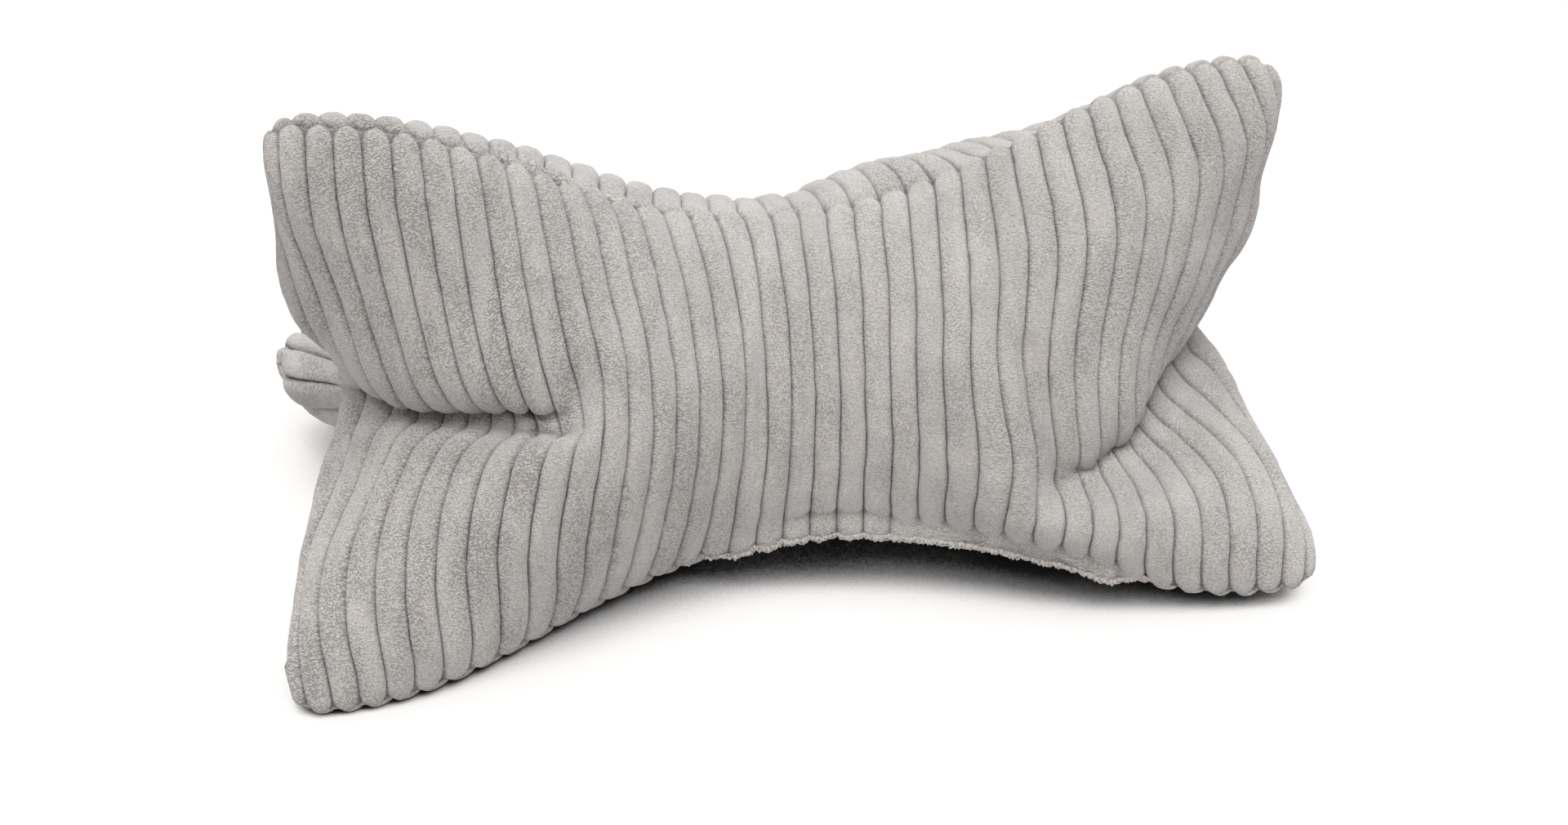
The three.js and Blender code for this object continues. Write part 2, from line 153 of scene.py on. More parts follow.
def fill_cover():
    """Fills the sewn cover from its folded state, and returns its points by panel, line and row."""
    line = np.arange(lines + 1)[None, :, None]
    row = np.arange(-rows, rows + 1)[None, None, :]
    panel = np.arange(panel_count)[:, None, None]
    flat_x, flat_v = flat_panel(line, row / rows)
    flat = np.stack([flat_x, flat_v], axis=-1)[0]

    wing = np.where(row > 0, panel, panel - 1)
    angle = math.pi / 2 + wing * wing_step
    middle = math.pi / 2 + panel * wing_step - wing_step / 2
    reach = np.abs(flat_v)
    to_seam = np.minimum(half_width(flat_x) - reach, half_length - np.abs(flat_x))
    opened = np.where(row > 0, -1, 1) * first_opening * np.maximum(0, to_seam) ** 0.8 * (row != 0)
    on_end = (line == 0) | (line == lines)
    out = np.where(on_end, 0, first_opening)
    cover = np.stack(np.broadcast_arrays(
        flat_x + 0 * panel,
        reach * np.cos(angle) - opened * np.sin(angle) + out * np.cos(middle),
        reach * np.sin(angle) + opened * np.cos(angle) + out * np.sin(middle),
    ), axis=-1)

    # Planes that the lobes on either side of a crease press against
    x = (line / lines * 2 - 1) * half_length
    lean = np.zeros((panel_count, lines + 1, 1))
    part = np.zeros((panel_count, lines + 1, 1))
    for crease in creases:
        inward = half_length - np.abs(x[0])
        own = (np.sign(x[0]) == crease["end"]) & (inward <= crease["reach"])
        lean[crease["panel"]] += own * math.radians(crease["turn"])
        part[crease["panel"]] += own * crease["across"] * inward / crease["reach"]
    off = row - part * rows
    facing = middle + lean + np.sign(off) * math.pi / 2
    plane_y = np.cos(facing)
    plane_z = np.sin(facing)
    plane_gap = np.where(on_end, 0, crease_gap * np.minimum(1, np.abs(off) / 3))
    plane_gap = np.where(off == 0, -1e9, plane_gap)

    # Neighbours that the cloth holds together, as pairs of slices that share no point
    def length(a, b):
        return np.sqrt(((flat[a] - flat[b]) ** 2).sum(axis=-1))[None]

    pairs = []
    for odd in (0, 1):
        near, far = slice(odd, lines, 2), slice(odd + 1, lines + 1, 2)
        low, high = slice(0, 2 * rows), slice(1, 2 * rows + 1)
        pairs.append(((near,), (far,), 1.0, squeeze_across_ribs))
        pairs.append(((near, low), (far, high), shear_hold, squeeze_across_ribs))
        pairs.append(((near, high), (far, low), shear_hold, squeeze_across_ribs))
        near, far = slice(odd, 2 * rows, 2), slice(odd + 1, 2 * rows + 1, 2)
        pairs.append(((slice(None), near), (slice(None), far), 1.0, squeeze_along_ribs))
    held = []
    for a, b, hold, slack in pairs:
        held.append(((slice(None),) + a, (slice(None),) + b, length(a, b), hold, slack))

    shared = np.ones((1, lines + 1, 2 * rows + 1, 1))
    shared[:, :, [0, -1]] = 2
    shared[:, [0, -1]] = 2
    shared[:, [0, -1], rows] = panel_count
    speed = np.zeros_like(cover)
    for step in range(fill_steps):
        before = cover.copy()
        a = cover[:, :-1, :-1]
        b = cover[:, 1:, :-1]
        c = cover[:, 1:, 1:]
        d = cover[:, :-1, 1:]
        one = np.cross(c - a, b - a)
        two = np.cross(d - a, c - a)
        volume = (one * a + two * a).sum() / 6
        wanting = min(1, max(0, (fill_volume - volume) * volume_to_go))
        push = pressure * min(1, step / full_pressure_step) * wanting
        blow = np.zeros_like(cover)
        blow[:, :-1, :-1] += one + two
        blow[:, 1:, 1:] += one + two
        blow[:, 1:, :-1] += one
        blow[:, :-1, 1:] += two
        sew(blow)
        speed = speed * damping + blow * shared * push
        cover += speed
        roll = roll_radius * min(1, step / full_roll_step)
        for sweep in range(sweeps):
            for first, second, size, hold, slack in held:
                pull(cover[first], cover[second], size, hold, slack)
            for bend in (cover, cover.swapaxes(1, 2)):
                curve = bend_hold * (bend[:, :-2] + bend[:, 2:] - 2 * bend[:, 1:-1])
                bend[:, :-2] -= curve
                bend[:, 2:] -= curve
                bend[:, 1:-1] += 2 * curve
            short = plane_gap - (plane_y * cover[..., 1] + plane_z * cover[..., 2])
            short = np.maximum(0, short)
            cover[..., 1] += plane_y * short
            cover[..., 2] += plane_z * short
            past = np.maximum(0, np.abs(cover[..., 0]) - roll_half_length)
            core = np.sqrt(np.maximum(0, roll ** 2 - past ** 2))
            r = np.sqrt(cover[..., 1] ** 2 + cover[..., 2] ** 2) + 1e-9
            grow = np.maximum(1, core / r)[..., None]
            cover[..., 1:] *= grow
            cover[..., 2] = np.maximum(cover[..., 2], -floor_below_axis)
            sew(cover)
        speed = cover - before
    return cover


def soft_step(value, low, high):
    """Rises smoothly from 0 to 1 between low and high."""
    t = np.clip((value - low) / (high - low), 0, 1)
    return t * t * (3 - 2 * t)


def hump(t):
    """Rises smoothly from 0 to 1 and back, as t goes from 0 to 1."""
    return np.sin(np.pi * np.clip(t, 0, 1)) ** 2


def settle(cover):
    """Lays each lobe over to the side that it leans to, and pushes the middles of the ends out."""
    for lobe in lobes:
        angle = math.pi / 2 + lobe["wing"] * wing_step
        near_end = soft_step(cover[..., 0] * lobe["end"], lobe_start, half_length)
        r = np.sqrt(cover[..., 1] ** 2 + cover[..., 2] ** 2) + 1e-9
        aligned = (cover[..., 1] * math.cos(angle) + cover[..., 2] * math.sin(angle)) / r
        in_wing = np.clip((aligned - lobe_spread) / (1 - lobe_spread), 0, 1)
        edge = soft_step(cover[..., 0] * lobe["end"], edge_start, half_length) * in_wing
        to_tip = r / lobe_half_width
        swelled = lobe["swell"] * hump(to_tip / swell_to) + lobe["flare"] * hump(to_tip * 2 - 1)
        share = near_end * in_wing * np.clip(r / lobe_depth, 0, 1)
        move = np.array([lobe["along"], lobe["back"], lobe["up"]])
        cover += share[..., None] * move
        cover[..., 0] += lobe["end"] * edge * swelled
    for notch in notches:
        near_end = soft_step(cover[..., 0] * notch["end"], notch_start, half_length - lobe_start)
        r = np.sqrt(cover[..., 1] ** 2 + cover[..., 2] ** 2)
        cover[..., 0] += notch["end"] * notch["out"] * near_end * (1 - soft_step(r, 0, notch_radius))


cover = fill_cover()
settle(cover)

# Pillow, its ribbed skin
# Each rib is a thick roll of pile between narrow grooves, and ends at a seam in a round knuckle. The
# last opening of the cover is closed from outside, so its two edges stand out as a stitched lip.
rib_marks = np.array([0, 0.04, 0.1, 0.2, 0.35, 0.5, 0.65, 0.8, 0.9, 0.96])
seam_marks = np.array([0, 0.7, 1.6, 2.8, 4.2, 6.0, 8.2, 10.8])
inner_rows = 30
rib_height = 4.1
face_round = 2.8
end_round = 2.2
rounder_over = (4, 30)
groove_depth = 2.5
knuckle = 7.5
knuckle_round = 2.2
waist_fullness = 0.6
lobe_from_to = (60, 150)
end_plump = 4.0
plump_peak = 0.8
plump_fade = 25.0
wrap_reach = 150.0
wraps = [
    {"wing": 0, "end": -1, "round": -8},
    {"wing": 0, "end": 1, "round": 10},
    {"wing": 1, "end": -1, "round": 3},
    {"wing": 1, "end": 1, "round": 6},
]
scallop = 3.0
scallop_reach = 16.0
rib_phase = [-0.35, 0.0, 0.3]
rib_wander = 0.04
groove_wobble = 0.02
unevenness = 0.12
dimple = 0.35
dimple_width = 4.0
dimple_length = 6.0
top_slide = 6.0
slide_reach = 80.0
crease_run_out = 8.0
crease_depth = 38.0
swell_peak = 15.0
gather_run_out = 55.0
gather_depth = 40.0
spare = 4
closing = {"wing": 1, "from": -42, "to": 145, "stitch_from": -8, "lip": 10.0}
narrow_lip = 6.0
narrows = (34, 50)
lip_out = 5.0
lip_fade = 12.0
lip_ribs = 0.8
narrow_lip_ribs = 0.15
lip_sink = 0.3
lip_rim = 0.5
rim_width = 3.0
lip_tuck_depth = 0.95
lip_tuck_reach = 6.0
stitch_fade = 8.0
stitch_drop = 2.2
stitch_half_width = 1.5
ragged_height = 1.1
ragged_width = 2.6
drawn_back = 6.0
drawn_over = (8, 40)
hidden_drop = 2.5
edge_drop_depth = 45.0
corner_ribs = 1.3
corner_reach = 14.0
corner_lift = 0.6
edge_drops = [
    {"at": -115, "spread": 36, "back": 10, "up": -7},
    {"at": -55, "spread": 45, "back": 15, "up": -16},
    {"at": 105, "spread": 50, "back": 0, "up": 14},
]


def between(p0, p1, p2, p3, t):
    """Smooth curve through four neighbours."""
    bent = 2 * p0 - 5 * p1 + 4 * p2 - p3 + t * (3 * (p1 - p2) + p3 - p0)
    return p1 + 0.5 * t * (p2 - p0 + t * bent)


def past_ends(cover):
    """The cover with a few lines of the next panel past each end, where it is folded over."""
    above = np.roll(cover, -1, axis=0)[:, :, ::-1]
    below = np.roll(cover, 1, axis=0)[:, :, ::-1]
    row = np.arange(-rows, rows + 1)[None, None, :, None]
    beyond = np.where(row > 0, above, np.where(row < 0, below, (above + below) / 2))
    return np.concatenate([beyond[:, spare:0:-1], cover, beyond[:, -2:-2 - spare:-1]], axis=1)


def over_seams(cover):
    """The cover with rows past its edges, the next panel's at the top seam, whose ridge is rounded."""
    before = np.roll(cover, 1, axis=0)[:, :, -1 - spare:-1]
    after = np.roll(cover, -1, axis=0)[:, :, 1:1 + spare]
    for panel in range(panel_count):
        if panel != 0:
            after[panel] = cover[panel, :, -1:]
        if panel != 1:
            before[panel] = cover[panel, :, :1]
    wide = np.concatenate([before, cover, after], axis=2)
    for panel, edge in ((0, spare + 2 * rows), (1, spare)):
        rounded = wide[panel].copy()
        for step, hold in ((-1, 0.25), (0, 0.5), (1, 0.25)):
            row = edge + step
            middle = (wide[panel, :, row - 1] + wide[panel, :, row + 1]) / 2
            rounded[:, row] += hold * (middle - wide[panel, :, row])
        wide[panel] = rounded
    return wide


wide_cover = over_seams(past_ends(cover))


def skin_at(panel, line, row):
    """Points of the filled cover at any line and row of its grid, a few past its edges too."""
    row = row + spare
    line = line + spare
    line0 = np.floor(line).astype(int)
    row0 = np.floor(row).astype(int)
    last_line = lines + 2 * spare
    last_row = 2 * rows + 2 * spare
    across = []
    for d_row in (-1, 0, 1, 2):
        r = np.clip(row0 + d_row, 0, last_row)
        four = [wide_cover[panel, np.clip(line0 + d_line, 0, last_line), r] for d_line in (-1, 0, 1, 2)]
        across.append(between(*four, (line - line0)[..., None]))
    return between(*across, (row - row0)[..., None])


def soft_noise(u, v, seed):
    """Smooth noise between -1 and 1, one bump to a unit of u and of v."""
    table = np.random.default_rng(seed).uniform(-1, 1, (64, 64))
    u0 = np.floor(u).astype(int)
    v0 = np.floor(v).astype(int)
    s = u - u0
    t = v - v0
    s = s * s * (3 - 2 * s)
    t = t * t * (3 - 2 * t)
    corner = [[table[(u0 + i) % 64, (v0 + j) % 64] for j in (0, 1)] for i in (0, 1)]
    low = corner[0][0] * (1 - t) + corner[0][1] * t
    high = corner[1][0] * (1 - t) + corner[1][1] * t
    return low * (1 - s) + high * s


rib_line = np.append((np.arange(rib_count)[:, None] + rib_marks).ravel(), rib_count)
x = (rib_line / rib_count * 2 - 1) * half_length
width = half_width(x)
from_seam = seam_marks[:, None] + 0 * width
inner = np.linspace(1, 0, inner_rows + 1)[1:, None]
from_seam = np.concatenate([from_seam, width - inner * (width - seam_marks[-1])])
part = 1 - from_seam / width
part = np.concatenate([-part, part[-2::-1]]).T
ribs = np.repeat(rib_line[:, None], part.shape[1], axis=1)
x = (ribs / rib_count * 2 - 1) * half_length
to_seam = half_width(x) * (1 - np.abs(part))
from_end = np.minimum(ribs, rib_count - ribs)
side = 2 * (ribs % 1) - 1
on_lobe = soft_step(np.abs(x), *lobe_from_to)


def even_line(ribs, part):
    """Line of the cover's grid that a rib's place falls on, with the ribs of a panel of even width."""
    x = (ribs / rib_count * 2 - 1) * half_length
    bow = end_bow * (1 - part ** 2) + lobe_bulge * np.sin(np.pi * part) ** 2
    wanted = x + bow * np.sign(x) * np.abs(x / half_length) ** 1.6
    for step in range(25):
        x = wanted - bow * (x / half_length) ** 5
    return (x / half_length + 1) / 2 * lines


skin = np.zeros((panel_count,) + part.shape + (3,))
flat = np.zeros((panel_count,) + part.shape + (2,))
from_ridge = np.zeros((panel_count,) + part.shape)
for panel in range(panel_count):
    wander = rib_wander * soft_noise(ribs / 2.5 + 7, part * 5 + 9, 20 + panel)
    phase = rib_phase[panel] * (1 - soft_step(x, -120, 80) if panel == 0 else 1)
    wobble = groove_wobble * soft_noise(ribs + 3, part * half_width(x) / 8 + 40, 50 + panel)
    shift = (phase + wander + wobble) * np.minimum(1, from_end / 2) * soft_step(to_seam, 0, 6)
    line = even_line(ribs + shift, part)
    flat[panel] = np.stack(flat_panel(line, part), axis=-1)

    # One panel of a lobe wraps round its end, and the end seam lies on the lobe's other side
    for wrap in wraps:
        above = (panel == wrap["wing"]) & (part > 0)
        below = (panel == wrap["wing"] + 1) & (part < 0)
        own, other = (below, above) if wrap["wing"] == 0 else (above, below)
        past = wrap["round"] * (1.0 * own - 1.0 * other) * (np.sign(x) == wrap["end"])
        past = past * hump(np.abs(part)) * np.maximum(0, 1 - from_end * rib_pitch / wrap_reach)
        line = line + wrap["end"] * past * 2 / rib_pitch
    from_ridge[panel] = np.minimum(np.abs(line), np.abs(lines - line)) / 2

    # The top seam lies a little to the front of the ridge at the left
    slid = top_slide * (1 - soft_step(x, -150, 20)) * soft_step(from_end, 0, 2.5)
    slid = slid * np.maximum(0, 1 - to_seam / slide_reach) ** 2
    tips = scallop * (0.2 + 0.8 * on_lobe) * (1 - side ** 2) * np.minimum(1, from_end / 2)
    slid = slid - tips * np.maximum(0, 1 - to_seam / scallop_reach) ** 2
    slid = slid / half_width(x)
    on_top = part > 0 if panel == 0 else (part < 0) & (panel == 1)
    skin[panel] = skin_at(panel, line, (part + slid * on_top + 1) * rows)
sew(skin)

# Along a crease the cloth on either side presses together and swells over the fold
for crease in creases:
    panel = crease["panel"]
    inward = half_length - np.abs(x)
    own_end = np.sign(x) == crease["end"]
    last = crease["reach"] + crease_run_out
    near = own_end * soft_step(from_end, 0, 3) * (1 - soft_step(inward, last - crease["fade"], last))
    off = (part - crease["across"] * np.minimum(1, inward / crease["reach"])) * half_width(x)
    outward = math.pi / 2 + (panel - 0.5) * wing_step + math.radians(crease["turn"])
    facing = outward + np.sign(off) * math.pi / 2
    apart = np.maximum(0, skin[panel][..., 1] * np.cos(facing) + skin[panel][..., 2] * np.sin(facing))
    closed = np.where(off < 0, crease["over"], crease["under"])
    closed = closed * near * np.exp(-(off / crease_depth) ** 2)
    lip = np.abs(off) / swell_peak
    swelled = crease["swell"] * near * lip * np.exp(1 - lip)
    drawn = 1 - soft_step(inward, crease["reach"], crease["reach"] + gather_run_out)
    drawn = drawn * soft_step(inward, 0, crease["reach"]) * np.exp(-(off / gather_depth) ** 2)
    drawn = crease["gather"] * drawn * own_end
    skin[panel][..., 0] += crease["end"] * drawn
    skin[panel][..., 1] += swelled * math.cos(outward) - closed * apart * np.cos(facing)
    skin[panel][..., 2] += swelled * math.sin(outward) - closed * apart * np.sin(facing)

along = np.gradient(skin, axis=1)
down = np.gradient(skin, axis=2)
normal = np.cross(down, along)
normal /= np.linalg.norm(normal, axis=-1, keepdims=True) + 1e-12
sew(normal)
normal /= np.linalg.norm(normal, axis=-1, keepdims=True) + 1e-12

lift = np.zeros(skin.shape[:3])
flange = np.zeros(skin.shape)
for panel in range(panel_count):
    flat_x, flat_v = flat[panel][..., 0], flat[panel][..., 1]
    uneven = 1 + unevenness * soft_noise(ribs, flat_v / 20 + 11, 3 + panel)
    sides = {closing["wing"]: part > 0, closing["wing"] + 1: part < 0}
    own_side = sides.get(panel, np.zeros(part.shape, dtype=bool))
    inside = np.clip((x - closing["from"]) / lip_fade, 0, 1)
    inside = inside * np.clip((closing["to"] - x) / lip_fade, 0, 1) * own_side
    narrow = soft_step(x, *narrows)
    lip = closing["lip"] + (narrow_lip - closing["lip"]) * narrow
    fullness = waist_fullness + (1 - waist_fullness) * on_lobe
    tuck = (1 - np.minimum(1, to_seam / (knuckle * fullness))) * fullness
    past_lip = np.maximum(0, to_seam - lip)
    lip_tuck = lip_tuck_depth * narrow * (1 - np.minimum(1, past_lip / lip_tuck_reach))
    tuck = tuck * (1 - inside) + lip_tuck * inside
    rounding = end_round + (face_round - end_round) * soft_step(to_seam, *rounder_over)
    roll_shape = np.sqrt(np.maximum(0, 1 - np.abs(side) ** rounding - tuck ** knuckle_round))
    plain = rib_height * uneven * roll_shape - groove_depth * (1 - 0.5 * tuck ** 2)
    dimples = soft_noise(flat_x / dimple_width + 90, flat_v / dimple_length + 90, 60 + panel)
    plain = plain + dimple * dimples

    # The lip has its stitches a little way in from a ragged edge, and hides the bottom panel's edge
    stitched = np.clip((x - closing["stitch_from"]) / stitch_fade, 0, 1) * (1 - narrow) * own_side
    on_lip = inside * np.clip((lip + 2 - to_seam) / 3, 0, 1)
    stitch = np.exp(-((to_seam - lip) / stitch_half_width) ** 2) * stitched
    ragged = ragged_height * soft_noise(flat_x / ragged_width + 30, to_seam / rim_width + 5, 41)
    ribbed = rib_height * uneven * np.sqrt(np.maximum(0, 1 - np.abs(side) ** rounding)) - groove_depth
    rim = 1 - np.minimum(1, to_seam / rim_width)
    level = (lip_ribs + (narrow_lip_ribs - lip_ribs) * narrow) * ribbed
    level = level + (lip_rim + ragged) * rim - lip_sink
    if panel == closing["wing"] + 1:
        level = -hidden_drop * (1 - rim)
        plain = plain - drawn_back * inside * (1 - soft_step(to_seam, *drawn_over))
    lift[panel] = plain * (1 - on_lip) + level * on_lip - stitch_drop * stitch
    seam_row = -1 if panel == closing["wing"] else 0
    outward = normal[panel][:, seam_row][:, None]
    stood_out = lip_out * inside * np.maximum(0, 1 - to_seam / (lip + rim_width)) ** 1.5
    flange[panel] = outward * stood_out[..., None]
    from_corner = np.minimum(to_seam, np.abs(part) * half_width(x) * 0.6)
    corner = (1 - soft_step(from_end, 0, corner_ribs)) * (1 - soft_step(from_corner, 0, corner_reach))
    lift[panel] = lift[panel] * (1 - corner) + corner_lift * corner

# Behind the top seam the rear panel sags at one place and stands full at another
for sag in sags:
    depth = to_seam / sag["from_seam"] * (part > 0)
    drop = sag["drop"] * np.exp(-((x - sag["at"]) / sag["spread"]) ** 2) * depth * np.exp(1 - depth)
    skin[sag["panel"]] -= normal[sag["panel"]] * drop[..., None]

# At the waist the closing seam hangs lower to the left and higher to the right
for drop in edge_drops:
    near_edge = np.exp(-((x - drop["at"]) / drop["spread"]) ** 2)
    near_edge = near_edge * np.exp(-(to_seam / edge_drop_depth) ** 2)
    move = np.array([0, drop["back"], drop["up"]])
    skin[closing["wing"]] += (near_edge * (part > 0))[..., None] * move
    skin[closing["wing"] + 1] += (near_edge * (part < 0))[..., None] * move

skin += normal * lift[..., None] + flange
plump = end_plump * np.sqrt(from_ridge / plump_peak) * np.exp(0.5 - from_ridge / (2 * plump_peak))
plump = plump * soft_step(np.abs(part), 0.1, 0.4) * np.minimum(1, to_seam / plump_fade)
sideways = normal[..., 1:] / (np.linalg.norm(normal[..., 1:], axis=-1, keepdims=True) + 0.05)
skin[..., 1:] += sideways * plump[..., None]
sew(skin)
skin[..., 2] = np.maximum(0, skin[..., 2] + floor_below_axis - floor_press)
box_middle = (skin.min(axis=(0, 1, 2)) + skin.max(axis=(0, 1, 2))) / 2
axis_at = np.array([-box_middle[0], -box_middle[1], 0.0])
skin += axis_at

shape = skin.shape[1:3]
pieces = []
for panel in range(panel_count):
    bpy.ops.mesh.primitive_grid_add(x_subdivisions=shape[0] - 1, y_subdivisions=shape[1] - 1, size=1)
    piece = bpy.context.object
    points = skin[panel].transpose(1, 0, 2) / 1000
    piece.data.vertices.foreach_set("co", points.ravel())
    corner = np.zeros(len(piece.data.loops), dtype=np.int32)
    piece.data.loops.foreach_get("vertex_index", corner)
    spread = flat[panel].transpose(1, 0, 2).reshape(-1, 2) / 1000 + np.array([0.3, 0.2 + 0.4 * panel])
    piece.data.uv_layers.active.data.foreach_set("uv", spread[corner].ravel())
    depth = piece.data.attributes.new("rib_height", "FLOAT", "POINT")
    depth.data.foreach_set("value", (lift[panel].T / rib_height).ravel())
    pieces.append(piece)
bpy.ops.object.select_all(action="DESELECT")
for piece in pieces:
    piece.select_set(True)
bpy.context.view_layer.objects.active = pieces[1]
bpy.ops.object.join()
pillow = bpy.context.object
pillow.name = "ribbed_pillow"
bpy.ops.object.mode_set(mode="EDIT")
bpy.ops.mesh.select_all(action="SELECT")
bpy.ops.mesh.remove_doubles(threshold=1e-6)
bpy.ops.mesh.normals_make_consistent(inside=False)
bpy.ops.object.mode_set(mode="OBJECT")
bpy.ops.object.shade_smooth()


def soft_pile(name):
    """A matt material with the soft sheen of a standing pile."""
    made = bpy.data.materials.new(name)
    made.use_nodes = True
    shader = made.node_tree.nodes["Principled BSDF"]
    shader.inputs["Roughness"].default_value = 0.95
    shader.inputs["Specular IOR Level"].default_value = 0.15
    shader.inputs["Sheen Weight"].default_value = 0.6
    shader.inputs["Sheen Roughness"].default_value = 0.35
    return made, made.node_tree, shader


plush, tree, shader = soft_pile("plush")


def node(kind, **values):
    """A new node of the plush, with its settings and the numbers of its sockets."""
    made = tree.nodes.new(kind)
    for name, value in values.items():
        if hasattr(made, name):
            setattr(made, name, value)
        else:
            made.inputs[name.replace("_", " ").title()].default_value = value
    return made


def wire(source, output, target, socket):
    """Joins an output of one node to a socket of another."""
    tree.links.new(source.outputs[output], target.inputs[socket])


spread_map = node("ShaderNodeUVMap", uv_map="UVMap")


def stretched(x_scale, y_scale):
    """The flat cloth's own coordinates, scaled along the pillow and along the ribs."""
    made = node("ShaderNodeMapping")
    made.inputs["Scale"].default_value = (x_scale, y_scale, 1)
    wire(spread_map, "UV", made, "Vector")
    return made


def ranged(source, output, from_min, from_max, to_min, to_max):
    """A value of a node brought smoothly from one range to another."""
    made = node("ShaderNodeMapRange", interpolation_type="SMOOTHSTEP")
    made.inputs["From Min"].default_value = from_min
    made.inputs["From Max"].default_value = from_max
    made.inputs["To Min"].default_value = to_min
    made.inputs["To Max"].default_value = to_max
    wire(source, output, made, "Value")
    return made


def times(first, first_output, second, second_output):
    """The product of two values."""
    made = node("ShaderNodeMath", operation="MULTIPLY")
    wire(first, first_output, made, 0)
    wire(second, second_output, made, 1)
    return made


grain = node("ShaderNodeTexNoise", scale=1, detail=2.5, roughness=0.65, distortion=0.5)
wire(stretched(1000, 1750), "Vector", grain, "Vector")
crumbs = node("ShaderNodeTexVoronoi", feature="SMOOTH_F1", scale=1, smoothness=0.2, randomness=1)
wire(stretched(930, 1300), "Vector", crumbs, "Vector")
pits = ranged(crumbs, "Distance", 0.3, 0.8, 0.0, 0.8)
brushed = node("ShaderNodeTexNoise", scale=1, detail=3, roughness=0.6, distortion=0.3)
wire(stretched(60, 20), "Vector", brushed, "Vector")
nap = node("ShaderNodeTexNoise", scale=1, detail=2, roughness=0.5, distortion=0.2)
wire(stretched(34, 26), "Vector", nap, "Vector")

ruffled = ranged(brushed, "Fac", 0.38, 0.64, 0.35, 0.9)
along_pillow = node("ShaderNodeSeparateXYZ")
wire(spread_map, "UV", along_pillow, "Vector")
most_at_left = ranged(along_pillow, "X", 0.15, 0.3, 1.0, 0.7)
ruffled = times(ruffled, "Result", most_at_left, "Result")
pitted = times(pits, "Result", ruffled, "Value")
standing = node("ShaderNodeMath", operation="SUBTRACT")
standing.inputs[0].default_value = 1
wire(pitted, "Value", standing, 1)
pile = times(grain, "Fac", standing, "Value")
tone = node("ShaderNodeValToRGB")
tone.color_ramp.elements[0].position = 0.2
tone.color_ramp.elements[0].color = (0.3, 0.281, 0.267, 1)
tone.color_ramp.elements[1].position = 0.62
tone.color_ramp.elements[1].color = (0.67, 0.637, 0.615, 1)
wire(pile, "Value", tone, "Fac")
patch = ranged(nap, "Fac", 0.35, 0.65, 0.96, 1.06)
# Painted shade: the base colour darkens from the rib tops down to the groove bottoms, read from the rib
# height, where shade falls between the ribs.
rib = node("ShaderNodeAttribute", attribute_name="rib_height")
root = node("ShaderNodeValToRGB")
for place, bright in ((0.0, 0.36), (0.25, 0.72), (0.55, 1.03), (0.85, 1.03)):
    stop = root.color_ramp.elements.new(place)
    stop.color = (bright, bright, bright, 1)
root.color_ramp.elements.remove(root.color_ramp.elements[-1])
root.color_ramp.elements.remove(root.color_ramp.elements[0])
height_for_groove_shade = node("ShaderNodeMapRange", from_min=-0.6, from_max=0.45)
wire(rib, "Fac", height_for_groove_shade, "Value")
wire(height_for_groove_shade, "Result", root, "Fac")
shade = times(patch, "Result", root, "Color")
colour = node("ShaderNodeVectorMath", operation="SCALE")
wire(tone, "Color", colour, 0)
wire(shade, "Value", colour, "Scale")
wire(colour, "Vector", shader, "Base Color")
relief = node("ShaderNodeBump")
relief.inputs["Strength"].default_value = 1.0
relief.inputs["Distance"].default_value = 0.0014
wire(pile, "Value", relief, "Height")
wire(relief, "Normal", shader, "Normal")
pillow.data.materials.clear()
pillow.data.materials.append(plush)
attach(pillow, "root")
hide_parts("pillow")

# Fringe of the closing seam
# The two panels' cut edges stand out of the closing seam as a lip, and the pile frays from them in
# short locks. Each lock is a blunt tuft of fibres, rooted in the cloth of the lip.
fringe_count = 1100
lock_length = (0.6, 1.6)
lock_width = (0.9, 1.8)
lock_sides = 5
lock_root = 0.9
lip_thickness = (-0.6, 2.4)
dice = np.random.default_rng(17)
seam_line = skin[closing["wing"]][:, -1]
seam_out = normal[closing["wing"]][:, -1]
seam_along = np.gradient(seam_line, axis=0)
seam_x = x[:, -1]
at = dice.uniform(closing["from"] - 6, closing["to"] + 4, fringe_count)


def on_seam(values):
    """Values of the seam's points, read at each lock's place."""
    return np.stack([np.interp(at, seam_x, values[:, axis]) for axis in range(3)], axis=-1)


def unit(vectors):
    """Vectors made one long."""
    return vectors / (np.linalg.norm(vectors, axis=-1, keepdims=True) + 1e-12)


run = unit(on_seam(seam_along))
out = unit(on_seam(seam_out))
over = unit(np.cross(run, out))
lean = dice.uniform(-0.5, 0.5, (fringe_count, 1))
tilt = dice.uniform(-0.5, 0.5, (fringe_count, 1))
point = unit(out + lean * run + tilt * over)
foot = on_seam(seam_line) - over * dice.uniform(*lip_thickness, (fringe_count, 1)) - lock_root * out
clump = 0.75 + 0.6 * soft_noise(at / 3.5 + 40, 0 * at, 8)[:, None]
length = dice.uniform(*lock_length, (fringe_count, 1)) * clump + lock_root
wide = dice.uniform(*lock_width, (fringe_count, 1))
sag = dice.uniform(-0.35, 0.35, (fringe_count, 1)) * length
rings = []
for rise, girth in ((0.0, 1.0), (0.55, 1.05), (0.88, 0.7)):
    for step in range(lock_sides):
        turn = step * 2 * math.pi / lock_sides
        across = math.cos(turn) * run + math.sin(turn) * over
        rings.append(foot + point * length * rise + run * sag * rise ** 2 + across * wide * girth / 2)
rings.append(foot + point * length + run * sag)
locks = np.stack(rings, axis=1)
locks[..., 2] = np.maximum(0.05, locks[..., 2])
lock_faces = [tuple(reversed(range(lock_sides)))]
for step in range(lock_sides):
    beside = (step + 1) % lock_sides
    for ring in (0, lock_sides):
        above = ring + lock_sides
        lock_faces.append((ring + step, ring + beside, above + beside, above + step))
    lock_faces.append((2 * lock_sides + step, 2 * lock_sides + beside, 3 * lock_sides))
firsts = range(0, locks.shape[1] * fringe_count, locks.shape[1])
faces = [tuple(first + corner for corner in face) for first in firsts for face in lock_faces]
frayed = bpy.data.meshes.new("lip_fringe")
